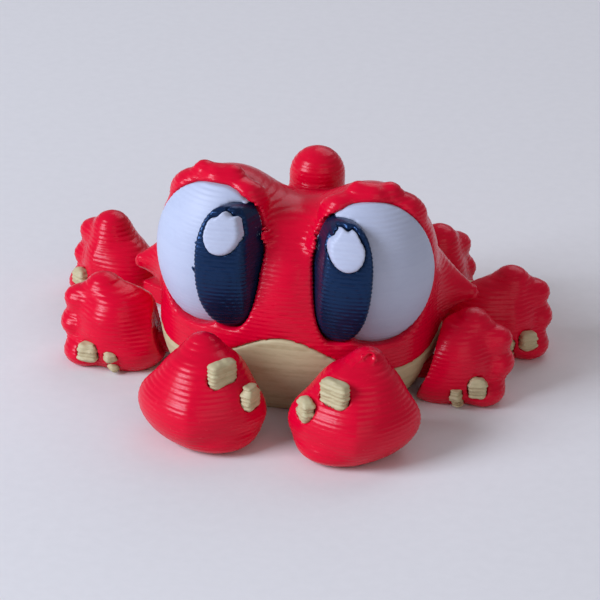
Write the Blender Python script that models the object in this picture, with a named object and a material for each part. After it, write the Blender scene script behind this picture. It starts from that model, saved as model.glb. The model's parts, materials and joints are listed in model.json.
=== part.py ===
# Articulated crab figurine: a red shell with two bulging eyes, a pale belly that holds
# eight captive pins, and eight limbs whose eyelets turn on those pins.
# The crab faces -Y and stands on z = 0, with the origin under the middle of the figure.
# Left and right are as seen from the front, so the right half is the one at +X.

import math

import bmesh
import bpy
import numpy as np
from mathutils import Matrix, Vector

MM = 0.001

CUT_PAST = 1.0 * MM  # how far a cutter goes past what it cuts
PULL_STEPS = 70  # of drawing a ball's points in to a form
PULL_SHARE = 0.75  # of the distance left, taken in each step
SHARP_ANGLE = math.radians(45)  # edges above this are shaded sharp
FLOOR_SEGMENTS = 16

# Gaps
SEAT_GAP = 0.3 * MM  # between pieces that rest on each other
HINGE_GAP = 0.35 * MM  # round a pin, and above and below an eyelet
SWING_GAP = 0.6 * MM  # between a limb and the body that it swings past

# Body, shell and belly together
BODY_CENTRE = Vector((0, 0.5, 6.0)) * MM
BODY_HALF_WIDTH = 13.4 * MM
BODY_HALF_LENGTH = 11.4 * MM
BODY_RISE = 10.7 * MM  # from its widest level to the top of the back
BODY_DROP = 10.0 * MM  # from its widest level down, past the floor
PLAN_SQUARENESS = 2.4  # 2 is an ellipse, and more is squarer
SIDE_SQUARENESS = 2.2
FORM_BLEND = 2.4 * MM  # fillet between the body, the eye domes and the spines

BODY_TOP = BODY_CENTRE[2] + BODY_RISE

# Domes behind the eyes, and the bridge between them
DOME_INSET = 6.8 * MM  # from the body's side to the middle of a dome
DOME_SETBACK = 8.5 * MM  # from the foremost point of the body to the middle of a dome
DOME_SUNK = 3.1 * MM  # below the top of the back
BODY_FRONT = BODY_CENTRE[1] - BODY_HALF_LENGTH
DOME_CENTRE = Vector((BODY_HALF_WIDTH - DOME_INSET, BODY_FRONT + DOME_SETBACK, BODY_TOP - DOME_SUNK))
DOME_RADII = Vector((6.6, 6.9, 7.2)) * MM
BRIDGE_SUNK = 4.9 * MM
BRIDGE_CENTRE = Vector((0, DOME_CENTRE[1], BODY_TOP - BRIDGE_SUNK))
BRIDGE_RADII = Vector((4.8, 7.3, 6.6)) * MM

# Brow ridge on each dome, with nubs along it: places in shares of the dome's radii
BROW_RADIUS = 1.2 * MM
NUB_RADIUS = 0.9 * MM
BROW_BLEND = 1.0 * MM
BROW_LINE = [
    (-0.58, -0.78, 0.47),
    (-0.35, -0.49, 0.85),
    (0.09, -0.32, 0.96),
    (0.52, -0.17, 0.79),
    (0.71, -0.07, 0.42),
]
NUBS = [
    (-0.50, -0.44, 0.83),
    (-0.13, -0.31, 1.11),
    (0.33, -0.21, 1.08),
    (0.67, -0.09, 0.74),
]

# Knob on the back
KNOB_RADIUS = 2.7 * MM
KNOB_INSET = 4.3 * MM  # from the rearmost point of the body
KNOB_SUNK = 3.2 * MM  # its foot, below the top of the back
KNOB_LENGTH = 3.3 * MM  # of the part between its foot and its rounded end
KNOB_FOOT = Vector((0, BODY_CENTRE[1] + BODY_HALF_LENGTH - KNOB_INSET, BODY_TOP - KNOB_SUNK))
KNOB_TOP = KNOB_FOOT + Vector((0, 0, KNOB_LENGTH))

# Spine on each side
SPINE_ROOT_RADIUS = 4.2 * MM
SPINE_TIP_RADIUS = 0.8 * MM
SPINE_INSET = 3.4 * MM  # its root, in from the body's side
SPINE_PROUD = 2.5 * MM  # its tip, out from the body's side
SPINE_BEHIND = 1.5 * MM  # the body's middle
SPINE_ROOT_RISE = 3.4 * MM  # above the body's widest level
SPINE_TIP_RISE = 2.5 * MM
SPINE_MIDDLE = Vector((BODY_HALF_WIDTH, BODY_CENTRE[1] + SPINE_BEHIND, BODY_CENTRE[2]))
SPINE_ROOT = SPINE_MIDDLE + Vector((-SPINE_INSET, 0, SPINE_ROOT_RISE))
SPINE_TIP = SPINE_MIDDLE + Vector((SPINE_PROUD, 0, SPINE_TIP_RISE))

SHELL_SUBDIVISIONS = 6
SHELL_KEPT = 0.24  # share of the ball's faces that is left after thinning
BELLY_SUBDIVISIONS = 5
BELLY_KEPT = 0.18

# Hinges between the belly and each limb
PIN_RADIUS = 0.75 * MM
EYELET_WALL = 0.8 * MM
EYELET_BOTTOM = 1.2 * MM
EYELET_HEIGHT = 2.0 * MM
EYELET_TOP = EYELET_BOTTOM + EYELET_HEIGHT
NECK_WIDTH = 1.8 * MM
PIN_SEGMENTS = 20
EYELET_SEGMENTS = 28
POCKET_SEGMENTS = 12  # round its closed end
POCKET_ROOF = 0.55 * MM  # what is left of the belly above a pocket
SPARE_SWING = 1.0  # degrees that each pocket leaves beyond the limb's own swing

# Rim, where the red shell ends and the pale belly begins
RIM_HEIGHT = EYELET_TOP + HINGE_GAP + POCKET_ROOF + SEAT_GAP
RIM_ARCH = 3.7 * MM  # how much higher it is over the mouth
RIM_ARCH_REACH = 6.2 * MM
RIM_ARCH_END = -5.0 * MM  # how far back the arch goes
RIM_SIDE_LIFT = 1.3 * MM  # how much higher it is beside the legs
RIM_SIDE_REACH = 5.0 * MM
RIM_SIDE_INSET = 4.4 * MM  # from the body's side to where that lift starts
RIM_FADE = 1.0 * MM
RIM_STEPS = 28

# Eyes
EYE_CENTRE = DOME_CENTRE + Vector((-0.1, -1.0, 0.3)) * MM
EYE_RADII = Vector((6.9, 6.3, 8.6)) * MM  # of the ball: across, along its axis, upright
EYE_TURN = math.radians(27)  # how far each eye looks out to its side
EYE_LEAN = math.radians(7)  # how far it looks up
EYE_HALF_WIDTH = 5.4 * MM  # of the opening in the shell
EYE_HALF_HEIGHT = 6.8 * MM
EYE_SQUARENESS = 2.2
EYE_SEGMENTS = 36  # round the ball
EYE_RINGS = 22
OPENING_SEGMENTS = 44
EYE_BACK = 2.0 * MM  # from the ball's centre forward to the eye's flat back
EYE_TOP_SHARE = 0.96  # height of the opening above its middle, as a share of that below
EYE_TOP_LEAN = 0.8 * MM  # of the opening's top, in towards the nose
PUPIL_HALF_WIDTH = 2.15 * MM
PUPIL_HALF_HEIGHT = 5.95 * MM
PUPIL_ASIDE = 3.75 * MM  # from the eye's middle, towards the nose
PUPIL_DROP = 0.35 * MM
PUPIL_LEAN = math.radians(5.5)  # of its top, out to the eye's side
PUPIL_SQUARENESS = 2.8
PUPIL_THICKNESS = 1.0 * MM
PUPIL_SEGMENTS = 30
GLINT_HALF_WIDTH = 1.5 * MM
GLINT_HALF_HEIGHT = 2.0 * MM
GLINT_RISE = 3.4 * MM  # above the pupil's middle
GLINT_DEPTH = 0.35 * MM
GLINT_PROUD = 0.25 * MM
GLINT_SEGMENTS = 18

# Limbs. Each is shaped in its own frame, which stands on the floor below the limb's core:
# u points out from the body, v to the crab's front (on a claw to its middle), z up.
# A lump is a centre and radii in millimetres, and the lumps of a limb run together.
CORE_HEIGHT = 3.3 * MM
LIMB_REACH = 12 * MM  # from the core to beyond the furthest point
LIMB_BLEND = 1.1 * MM
LIMB_SUBDIVISIONS = 5
LIMB_KEPT = 0.1
LEG_LUMPS = [
    ((-1.0, 0.0, 3.3), (3.8, 3.6, 3.8)),
    ((-3.6, 0.0, 3.2), (3.8, 3.1, 3.5)),
    ((-0.5, 0.0, 6.7), (2.0, 2.0, 2.0)),
    ((1.9, 0.1, 5.9), (1.5, 1.5, 1.2)),
    ((2.4, 0.2, 3.5), (1.3, 2.0, 1.1)),
    ((0.9, 1.6, 1.2), (2.2, 2.3, 1.5)),
]
FRONT_LUMPS = [  # on the front legs only: the heel and the crest above the nails
    ((-3.2, 1.3, 2.0), (3.6, 3.0, 2.6)),
    ((-0.8, 2.0, 4.0), (1.5, 2.3, 3.4)),
]
LEG_NAILS = [  # where each stands, its half width and its height
    ((0.6, 4.0, 2.1), 0.95, 2.1),
    ((-1.6, 4.0, 1.75), 0.65, 1.2),
    ((-1.3, 3.3, 0.75), 0.6, 0.7),
]
CLAW_LUMPS = [
    ((0.0, 0.0, 3.4), (5.3, 6.1, 3.9)),
    ((-0.6, -0.4, 5.6), (3.8, 4.2, 3.4)),
    ((-1.4, -1.1, 8.3), (1.5, 1.7, 1.6)),
    ((0.6, 1.9, 1.3), (3.7, 3.4, 1.5)),
]
CLAW_NAILS = [
    ((2.6, 2.5, 7.6), 1.4, 2.7),
    ((2.7, 5.4, 6.0), 0.95, 2.3),
]
NAIL_PROUD = 0.75 * MM
NAIL_SUNK = 0.8 * MM
NAIL_SQUARENESS = 3.4
NAIL_SEGMENTS = 12
NAIL_RINGS = 6

# Limbs on the left half are the mirror of these. Bearing is where the pin stands, round the
# body's middle, and inset is how far it stands inside the belly's outline on the floor.
# Reach is from the pin to the core. Ahead is the way that the limb points in the middle of
# its swing, and swing is how far it turns from there, either way. Bearing and ahead are in
# degrees from straight ahead.
LIMBS = {
    "claw": {"bearing": 43.5, "inset": 2.4 * MM, "reach": 10.0 * MM, "ahead": 15.0, "swing": 12.0,
             "lumps": CLAW_LUMPS, "nails": CLAW_NAILS},
    "leg_1": {"bearing": 76.2, "inset": 1.6 * MM, "reach": 8.9 * MM, "ahead": 86.0, "swing": 9.0,
              "lumps": LEG_LUMPS + FRONT_LUMPS, "nails": LEG_NAILS},
    "leg_2": {"bearing": 110.5, "inset": 1.6 * MM, "reach": 12.3 * MM, "ahead": 116.5, "swing": 8.0,
              "lumps": LEG_LUMPS, "nails": LEG_NAILS},
    "leg_3": {"bearing": 143.1, "inset": 2.5 * MM, "reach": 11.2 * MM, "ahead": 152.0, "swing": 8.0,
              "lumps": LEG_LUMPS, "nails": LEG_NAILS},
}
# How far each limb is swung forwards (a claw inwards) in the stored pose, in degrees
SWUNG = {
    "claw_left": 11.5,
    "claw_right": 4.0,
    "leg_1_left": -4.0,
    "leg_1_right": -4.0,
    "leg_2_left": -6.0,
    "leg_2_right": 5.0,
    "leg_3_left": 0.0,
    "leg_3_right": 8.0,
}
# How much further out than its kind each leg stands, by the slack that its eyelet has
DRAWN_OUT = {
    "leg_1_left": 1.0 * MM,
    "leg_1_right": -1.2 * MM,
    "leg_2_left": 2.5 * MM,
    "leg_2_right": -1.0 * MM,
}
SIDES = {"left": -1, "right": 1}

# Finishes: colour and roughness
FINISHES = {
    "red_plastic": ((0.55, 0.005, 0.022), 0.38),
    "cream_plastic": ((0.62, 0.52, 0.36), 0.5),
    "white_plastic": ((0.72, 0.76, 0.86), 0.5),
    "black_plastic": ((0.012, 0.014, 0.024), 0.35),
}


def make_material(name):
    colour, roughness = FINISHES[name]
    made = bpy.data.materials.new(name)
    made.use_nodes = True
    shader = made.node_tree.nodes["Principled BSDF"]
    shader.inputs["Base Color"].default_value = (*colour, 1.0)
    shader.inputs["Roughness"].default_value = roughness
    shader.inputs["Metallic"].default_value = 0.0
    return made


def add_object(name, bm, parent, material=None):
    mesh = bpy.data.meshes.new(name)
    bm.to_mesh(mesh)
    bm.free()
    mesh.shade_smooth()
    mesh.set_sharp_from_angle(angle=SHARP_ANGLE)
    made = bpy.data.objects.new(name, mesh)
    bpy.context.scene.collection.objects.link(made)
    made.parent = parent
    if material:
        mesh.materials.append(material)
    else:
        made.hide_render = True
        made.display_type = "WIRE"
    return made


def add_empty(name, parent, place, turn):
    made = bpy.data.objects.new(name, None)
    bpy.context.scene.collection.objects.link(made)
    made.parent = parent
    made.location = place
    made.rotation_euler = (0, 0, turn)
    return made


def boolean(target, operation, other):
    step = target.modifiers.new(operation.lower() + "_" + other.name, "BOOLEAN")
    step.operation = operation
    step.object = other
    step.solver = "EXACT"


def thin_out(target, kept):
    step = target.modifiers.new("thin_out", "DECIMATE")
    step.decimate_type = "COLLAPSE"
    step.ratio = kept


# Forms, each a function of how far points lie outside it

def lump_distance(points, centre, radii):
    scaled = (points - np.array(centre)) / np.array(radii)
    near = np.linalg.norm(scaled, axis=1)
    slope = np.linalg.norm(scaled / np.array(radii), axis=1)
    return near * (near - 1) / np.maximum(slope, 1e-9)


def rod_distance(points, start, end, start_radius, end_radius):
    start, end = np.array(start), np.array(end)
    along = end - start
    share = np.clip((points - start) @ along / (along @ along), 0, 1)
    nearest = start + share[:, None] * along
    return np.linalg.norm(points - nearest, axis=1) - start_radius - share * (end_radius - start_radius)


def trunk_distance(points):
    """The body without what stands on it: squarish in plan, domed above and drawn in below."""
    x, y, z = np.abs(points - np.array(BODY_CENTRE)).T
    upright = np.where(points[:, 2] > BODY_CENTRE[2], BODY_RISE, BODY_DROP)
    plan = (x / BODY_HALF_WIDTH) ** PLAN_SQUARENESS + (y / BODY_HALF_LENGTH) ** PLAN_SQUARENESS
    powers = plan ** (SIDE_SQUARENESS / PLAN_SQUARENESS) + (z / upright) ** SIDE_SQUARENESS
    near = powers ** (1 / SIDE_SQUARENESS)
    reach = np.linalg.norm(np.stack([x, y, z]), axis=0)
    return reach * (near - 1) / np.maximum(near, 1e-9)


def run_together(first, second, blend):
    """The union of two forms, with a fillet where they meet."""
    overlap = np.maximum(blend - np.abs(first - second), 0) / blend
    return np.minimum(first, second) - overlap * overlap * blend / 4


def on_side(point, side):
    return Vector((point[0] * side, point[1], point[2]))


def on_dome(share, side):
    return on_side([c + s * r for c, s, r in zip(DOME_CENTRE, share, DOME_RADII)], side)


def body_distance(points):
    form = trunk_distance(points)
    form = run_together(form, lump_distance(points, BRIDGE_CENTRE, BRIDGE_RADII), FORM_BLEND)
    for side in SIDES.values():
        dome = lump_distance(points, on_side(DOME_CENTRE, side), DOME_RADII)
        spine = rod_distance(points, on_side(SPINE_ROOT, side), on_side(SPINE_TIP, side),
                             SPINE_ROOT_RADIUS, SPINE_TIP_RADIUS)
        form = run_together(form, dome, FORM_BLEND)
        form = run_together(form, spine, FORM_BLEND)
    form = run_together(form, rod_distance(points, KNOB_FOOT, KNOB_TOP, KNOB_RADIUS, KNOB_RADIUS), BROW_BLEND)
    for side in SIDES.values():
        for start, end in zip(BROW_LINE, BROW_LINE[1:]):
            ridge = rod_distance(points, on_dome(start, side), on_dome(end, side), BROW_RADIUS, BROW_RADIUS)
            form = run_together(form, ridge, BROW_BLEND)
        for nub in NUBS:
            bump = np.linalg.norm(points - np.array(on_dome(nub, side)), axis=1) - NUB_RADIUS
            form = run_together(form, bump, BROW_BLEND)
    return form


def limb_distance(lumps, side):
    """A limb in its own frame, before it is trimmed to clear the body."""
    def distance(points):
        form = None
        for (u, v, z), radii in lumps:
            lump = lump_distance(points, Vector((u, -side * v, z)) * MM, Vector(radii) * MM)
            form = lump if form is None else run_together(form, lump, LIMB_BLEND)
        return form
    return distance


def pull_in(distance, core, rays, reach):
    """Where each ray from the core meets the form, coming in from outside."""
    away = np.full(len(rays), reach)
    for _ in range(PULL_STEPS):
        away -= PULL_SHARE * distance(core + rays * away[:, None])
    return core + rays * away[:, None]


def pulled_ball(distance, core, subdivisions, reach):
    """A ball whose points are drawn in towards the core until they meet the form."""
    bm = bmesh.new()
    bmesh.ops.create_icosphere(bm, subdivisions=subdivisions, radius=1)
    rays = np.array([v.co.normalized() for v in bm.verts])
    for vertex, point in zip(bm.verts, pull_in(distance, np.array(core), rays, reach)):
        vertex.co = point
    return bm


def prism(outline, low, high, upright=True):
    """An outline carried from low to high, along Z, or along -Y if not upright."""
    place = (lambda a, b, c: (a, b, c)) if upright else (lambda a, b, c: (a, -c, b))
    bm = bmesh.new()
    bottom = [bm.verts.new(place(a, b, low)) for a, b in outline]
    top = [bm.verts.new(place(a, b, high)) for a, b in outline]
    bm.faces.new(bottom)
    bm.faces.new(top)
    for k in range(len(outline)):
        after = (k + 1) % len(outline)
        bm.faces.new((bottom[k], bottom[after], top[after], top[k]))
    bmesh.ops.recalc_face_normals(bm, faces=bm.faces)
    return bm


def oval(half_width, half_height, squareness, segments, centre=(0, 0)):
    points = []
    for k in range(segments):
        angle = 2 * math.pi * (k + 0.5) / segments
        c, s = math.cos(angle), math.sin(angle)
        points.append((centre[0] + half_width * math.copysign(abs(c) ** (2 / squareness), c),
                       centre[1] + half_height * math.copysign(abs(s) ** (2 / squareness), s)))
    return points


def cylinder(radius, low, high, segments):
    return prism(oval(radius, radius, 2, segments), low, high)


def ball(radii, segments, rings):
    bm = bmesh.new()
    bmesh.ops.create_uvsphere(bm, u_segments=segments, v_segments=rings, radius=1)
    bmesh.ops.scale(bm, vec=radii, verts=bm.verts)
    return bm


def cushion(half_sizes, stand):
    """A block with rounded sides and edges."""
    bm = bmesh.new()
    bmesh.ops.create_uvsphere(bm, u_segments=NAIL_SEGMENTS, v_segments=NAIL_RINGS, radius=1)
    for vertex in bm.verts:
        squared = [math.copysign(abs(c) ** (2 / NAIL_SQUARENESS), c) for c in vertex.co]
        vertex.co = stand @ (Vector(squared) * half_sizes)
    return bm


# Rim and shell

def rim_height(x, y):
    """Level, but arched over the mouth and lifted beside the legs."""
    ahead = 1 / (1 + math.exp((y - RIM_ARCH_END) / RIM_FADE))
    beside = 1 / (1 + math.exp((BODY_HALF_WIDTH - RIM_SIDE_INSET - abs(x)) / RIM_FADE))
    arch = RIM_ARCH * ahead * math.exp(-((x / RIM_ARCH_REACH) ** 2))
    lift = RIM_SIDE_LIFT * beside * math.exp(-(((y - BODY_CENTRE[1]) / RIM_SIDE_REACH) ** 2))
    return RIM_HEIGHT + arch + lift


def rim_block(level, lift):
    """A wide block with one face on the rim and the other at a level above or below it."""
    half = 1.5 * BODY_HALF_WIDTH
    bm = bmesh.new()
    rim = {}
    for i in range(RIM_STEPS + 1):
        for j in range(RIM_STEPS + 1):
            x, y = (2 * i / RIM_STEPS - 1) * half, (2 * j / RIM_STEPS - 1) * half
            rim[i, j] = bm.verts.new((x, y, rim_height(x, y) + lift))
    for i in range(RIM_STEPS):
        for j in range(RIM_STEPS):
            bm.faces.new((rim[i, j], rim[i + 1, j], rim[i + 1, j + 1], rim[i, j + 1]))
    border = [e for e in bm.edges if len(e.link_faces) == 1]
    walls = bmesh.ops.extrude_edge_only(bm, edges=border)
    for vertex in [v for v in walls["geom"] if isinstance(v, bmesh.types.BMVert)]:
        vertex.co.z = level
    edges = [e for e in walls["geom"] if isinstance(e, bmesh.types.BMEdge) and len(e.link_faces) == 1]
    bmesh.ops.contextual_create(bm, geom=edges)
    bmesh.ops.triangulate(bm, faces=bm.faces)
    bmesh.ops.recalc_face_normals(bm, faces=bm.faces)
    return bm


# Eyes

def eye_opening(grown, side):
    """The opening's outline: an oval whose top leans in towards the nose."""
    outline = []
    for x, z in oval(EYE_HALF_WIDTH + grown, EYE_HALF_HEIGHT + grown, EYE_SQUARENESS, OPENING_SEGMENTS):
        above = max(z, 0)
        lean = side * EYE_TOP_LEAN * above / EYE_HALF_HEIGHT
        outline.append((x - lean, z - above * (1 - EYE_TOP_SHARE)))
    return outline


def on_pupil(outline, side):
    """An outline round the pupil's middle, leaned and brought to where the pupil is on the eye."""
    cos, sin = math.cos(PUPIL_LEAN), side * math.sin(PUPIL_LEAN)
    return [(x * cos + z * sin - side * PUPIL_ASIDE, z * cos - x * sin - PUPIL_DROP) for x, z in outline]


def eye_frame(side):
    """The eye's own frame: -Y along its axis, outwards."""
    turn = Matrix.Rotation(side * EYE_TURN, 4, "Z") @ Matrix.Rotation(-EYE_LEAN, 4, "X")
    return Matrix.Translation(on_side(EYE_CENTRE, side)) @ turn


def add_eyes(body, shell, materials):
    beyond = 2 * EYE_RADII[1]
    skin = SEAT_GAP + PUPIL_THICKNESS
    for word, side in SIDES.items():
        frame = eye_frame(side)

        def place(name, bm, material=None):
            made = add_object(name + "_" + word, bm, body, material)
            made.matrix_local = frame
            return made

        def grown_ball(name, grown):
            return place(name, ball(EYE_RADII + Vector((grown, grown, grown)), EYE_SEGMENTS, EYE_RINGS))

        def pupil_outline(grown):
            return on_pupil(oval(PUPIL_HALF_WIDTH + grown, PUPIL_HALF_HEIGHT + grown,
                                 PUPIL_SQUARENESS, PUPIL_SEGMENTS), side)

        def glint_outline(grown):
            return on_pupil(oval(GLINT_HALF_WIDTH + grown, GLINT_HALF_HEIGHT + grown, 2,
                                 GLINT_SEGMENTS, (0, GLINT_RISE)), side)

        socket = place("socket", prism(eye_opening(SEAT_GAP, side), EYE_BACK - SEAT_GAP, beyond, False))
        boolean(shell, "DIFFERENCE", socket)
        clearing = place("pupil_clearing", prism(pupil_outline(SEAT_GAP), EYE_BACK, beyond, False))
        boolean(shell, "DIFFERENCE", clearing)

        eye = place("eye", prism(eye_opening(0, side), EYE_BACK, beyond, False), materials["white_plastic"])
        boolean(eye, "INTERSECT", grown_ball("eye_front", 0))

        pupil = place("pupil", prism(pupil_outline(0), EYE_BACK + SEAT_GAP, beyond, False),
                      materials["black_plastic"])
        boolean(pupil, "INTERSECT", grown_ball("pupil_front", skin))
        boolean(pupil, "DIFFERENCE", grown_ball("pupil_back", SEAT_GAP))

        hole = place("glint_hole", prism(glint_outline(SEAT_GAP), EYE_BACK, beyond, False))
        boolean(hole, "DIFFERENCE", grown_ball("glint_floor", skin - GLINT_DEPTH - SEAT_GAP))
        boolean(pupil, "DIFFERENCE", hole)

        glint = place("glint", prism(glint_outline(0), EYE_BACK, beyond, False), materials["white_plastic"])
        boolean(glint, "INTERSECT", grown_ball("glint_front", skin + GLINT_PROUD))
        boolean(glint, "DIFFERENCE", grown_ball("glint_back", skin - GLINT_DEPTH))


# Hinges and limbs

def heading(side, ahead):
    """The angle about Z, from +X, of a limb that points this many degrees from straight ahead."""
    turn = math.radians(ahead)
    return math.atan2(-math.cos(turn), side * math.sin(turn))


def pin_place(side, bearing, inset):
    """Where a pin stands, its inset inside the belly's outline on the floor."""
    across, back = math.sin(math.radians(bearing)), -math.cos(math.radians(bearing))
    narrowed = (1 - (BODY_CENTRE[2] / BODY_DROP) ** SIDE_SQUARENESS) ** (1 / SIDE_SQUARENESS)
    wide, long = abs(across) / BODY_HALF_WIDTH, abs(back) / BODY_HALF_LENGTH
    edge = narrowed / (wide ** PLAN_SQUARENESS + long ** PLAN_SQUARENESS) ** (1 / PLAN_SQUARENESS)
    return Vector((side * across * (edge - inset), BODY_CENTRE[1] + back * (edge - inset), 0))


def pocket(reach, swing):
    """Room in the belly for an eyelet and its neck as they swing."""
    low, high = EYELET_BOTTOM - HINGE_GAP, EYELET_TOP + HINGE_GAP
    radius = PIN_RADIUS + 2 * HINGE_GAP + EYELET_WALL
    across = NECK_WIDTH / 2 + HINGE_GAP
    cos, sin = math.cos(swing), math.sin(swing)
    outline = []
    for k in range(POCKET_SEGMENTS + 1):
        angle = math.radians(90 + 180 * k / POCKET_SEGMENTS)
        outline.append((radius * math.cos(angle), radius * math.sin(angle)))
    for sign in (-1, 1):
        outline.append((reach * cos - across * sin, sign * (reach * sin + across * cos)))
    return prism(outline, low, high)


def trimmed_limb(distance, core_place, turn, pin, swing):
    """The limb's form without what would come too near the body anywhere in its swing."""
    def turned(points, about, angle, to):
        away = points[:, :2] - about
        cos, sin = math.cos(angle), math.sin(angle)
        x = to[0] + away[:, 0] * cos - away[:, 1] * sin
        y = to[1] + away[:, 0] * sin + away[:, 1] * cos
        return np.stack([x, y, points[:, 2]], axis=1)

    def clear(points):
        form = distance(points)
        standing = turned(points, np.zeros(2), turn, core_place)
        for angle in (-swing, 0, swing):
            swung = turned(standing, np.array(pin[:2]), angle, pin)
            form = np.maximum(form, SWING_GAP - body_distance(swung))
        return form
    return clear


def add_limb(kind, word, body, belly, materials):
    name = kind + "_" + word
    side = SIDES[word]
    limb = LIMBS[kind]
    reach, ahead = limb["reach"] + DRAWN_OUT.get(name, 0), limb["ahead"]
    swing = math.radians(limb["swing"] + SPARE_SWING)
    place = pin_place(side, limb["bearing"], limb["inset"])
    middle = heading(side, ahead)
    hinge = add_empty("hinge_" + name, body, place, heading(side, ahead - SWUNG[name]))

    room = add_object("pocket_" + name, pocket(reach, swing), body)
    room.location = place
    room.rotation_euler = (0, 0, middle)
    pin = cylinder(PIN_RADIUS, -CUT_PAST, EYELET_TOP + CUT_PAST, PIN_SEGMENTS)
    post = add_object("post_" + name, pin, body)
    post.location = place
    boolean(room, "DIFFERENCE", post)
    boolean(belly, "DIFFERENCE", room)

    core = Vector((0, 0, CORE_HEIGHT))
    core_place = place + reach * Vector((math.cos(middle), math.sin(middle), 0))
    form = trimmed_limb(limb_distance(limb["lumps"], side), core_place, middle, place, swing)
    skin = pulled_ball(form, core, LIMB_SUBDIVISIONS, LIMB_REACH)
    made = add_object(name, skin, hinge, materials["red_plastic"])
    made.location = (reach, 0, 0)
    thin_out(made, LIMB_KEPT)
    floor = add_object("floor_" + name, cylinder(LIMB_REACH, -LIMB_REACH, 0, FLOOR_SEGMENTS), hinge)
    floor.location = (reach, 0, 0)
    boolean(made, "DIFFERENCE", floor)

    half = NECK_WIDTH / 2
    bore_radius = PIN_RADIUS + HINGE_GAP
    bar = prism([(0, -half), (reach, -half), (reach, half), (0, half)], EYELET_BOTTOM, EYELET_TOP)
    neck = add_object("neck_" + name, bar, hinge)
    eyelet = cylinder(bore_radius + EYELET_WALL, EYELET_BOTTOM, EYELET_TOP, EYELET_SEGMENTS)
    ring = add_object("ring_" + name, eyelet, hinge)
    hole = cylinder(bore_radius, EYELET_BOTTOM - CUT_PAST, EYELET_TOP + CUT_PAST, PIN_SEGMENTS)
    bore = add_object("bore_" + name, hole, hinge)
    boolean(made, "UNION", neck)
    boolean(made, "UNION", ring)
    boolean(made, "DIFFERENCE", bore)
    add_nails(made, side, limb["nails"], form, core, materials["cream_plastic"])


def add_nails(limb, side, nails, form, core, material):
    """Nails stand in recesses in the limb's skin."""
    for count, ((u, v, z), half_width, height) in enumerate(nails, 1):
        ray = (Vector((u, -side * v, z)) * MM - core).normalized()
        skin = Vector(pull_in(form, np.array(core), np.array([ray]), LIMB_REACH)[0])
        out = Vector((ray[0], ray[1], 0)).normalized()
        turn = Matrix.Rotation(math.atan2(out[1], out[0]), 4, "Z")
        middle = skin + out * (NAIL_PROUD - NAIL_SUNK) / 2
        half_sizes = Vector(((NAIL_PROUD + NAIL_SUNK) / 2, half_width * MM, height * MM / 2))
        stand = Matrix.Translation(middle) @ turn
        name = "%s_nail_%d" % (limb.name, count)
        nail = add_object(name, cushion(half_sizes, stand), limb.parent, material)
        nail.location = limb.location
        grown = half_sizes + Vector((SEAT_GAP, SEAT_GAP, SEAT_GAP))
        recess = add_object("recess_%d_%s" % (count, limb.name), cushion(grown, stand), limb.parent)
        recess.location = limb.location
        boolean(limb, "DIFFERENCE", recess)


def stand_mid_footprint(body):
    """Moves the figure so that the origin is under the middle of its bounding box."""
    graph = bpy.context.evaluated_depsgraph_get()
    corners = []
    for piece in bpy.context.scene.objects:
        if piece.type == "MESH" and not piece.hide_render:
            solid = piece.evaluated_get(graph)
            corners += [piece.matrix_world @ Vector(c) for c in solid.bound_box]
    for axis in (0, 1):
        body.location[axis] = -(min(c[axis] for c in corners) + max(c[axis] for c in corners)) / 2


def build():
    for old in list(bpy.data.objects):
        bpy.data.objects.remove(old)
    materials = {name: make_material(name) for name in FINISHES}
    body = add_empty("body_frame", None, (0, 0, 0), 0)

    core = Vector((0, BODY_CENTRE[1], (BODY_CENTRE[2] + DOME_CENTRE[2]) / 2))
    below, whole = -BODY_DROP, 2 * BODY_HALF_WIDTH
    shell = add_object("shell", pulled_ball(body_distance, core, SHELL_SUBDIVISIONS, whole), body,
                       materials["red_plastic"])
    thin_out(shell, SHELL_KEPT)
    boolean(shell, "DIFFERENCE", add_object("below_rim", rim_block(below, 0), body))

    belly = add_object("belly", pulled_ball(trunk_distance, BODY_CENTRE, BELLY_SUBDIVISIONS, whole), body,
                       materials["cream_plastic"])
    thin_out(belly, BELLY_KEPT)
    boolean(belly, "DIFFERENCE", add_object("above_rim", rim_block(whole, -SEAT_GAP), body))
    floor = add_object("floor", cylinder(whole, below, 0, FLOOR_SEGMENTS), body)
    boolean(belly, "DIFFERENCE", floor)

    add_eyes(body, shell, materials)
    for kind in LIMBS:
        for word in SIDES:
            add_limb(kind, word, body, belly, materials)
    bpy.context.view_layer.update()
    stand_mid_footprint(body)


build()
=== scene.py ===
import json
import math

import bpy
import numpy as np
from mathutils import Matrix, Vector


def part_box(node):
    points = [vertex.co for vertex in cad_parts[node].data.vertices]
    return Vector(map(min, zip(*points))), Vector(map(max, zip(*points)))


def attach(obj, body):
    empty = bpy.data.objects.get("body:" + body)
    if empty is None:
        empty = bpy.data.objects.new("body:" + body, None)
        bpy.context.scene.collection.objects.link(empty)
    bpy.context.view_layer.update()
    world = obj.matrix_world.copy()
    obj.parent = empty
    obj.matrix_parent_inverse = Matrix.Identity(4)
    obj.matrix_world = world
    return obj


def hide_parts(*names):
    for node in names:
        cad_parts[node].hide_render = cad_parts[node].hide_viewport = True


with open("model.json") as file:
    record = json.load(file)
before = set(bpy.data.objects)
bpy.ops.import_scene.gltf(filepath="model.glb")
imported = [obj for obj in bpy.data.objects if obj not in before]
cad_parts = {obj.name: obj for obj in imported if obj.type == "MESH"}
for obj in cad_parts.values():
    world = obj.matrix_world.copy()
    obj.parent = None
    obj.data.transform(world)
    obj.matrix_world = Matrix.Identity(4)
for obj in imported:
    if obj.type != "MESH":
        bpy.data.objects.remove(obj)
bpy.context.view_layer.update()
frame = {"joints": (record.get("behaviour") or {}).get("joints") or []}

import openvdb
from mathutils import Matrix, Vector

mm = 0.001
sides = {"left": -1, "right": 1}  # as seen from the front, which is -Y
joints = {joint["child"]: joint for joint in frame["joints"]}

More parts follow.
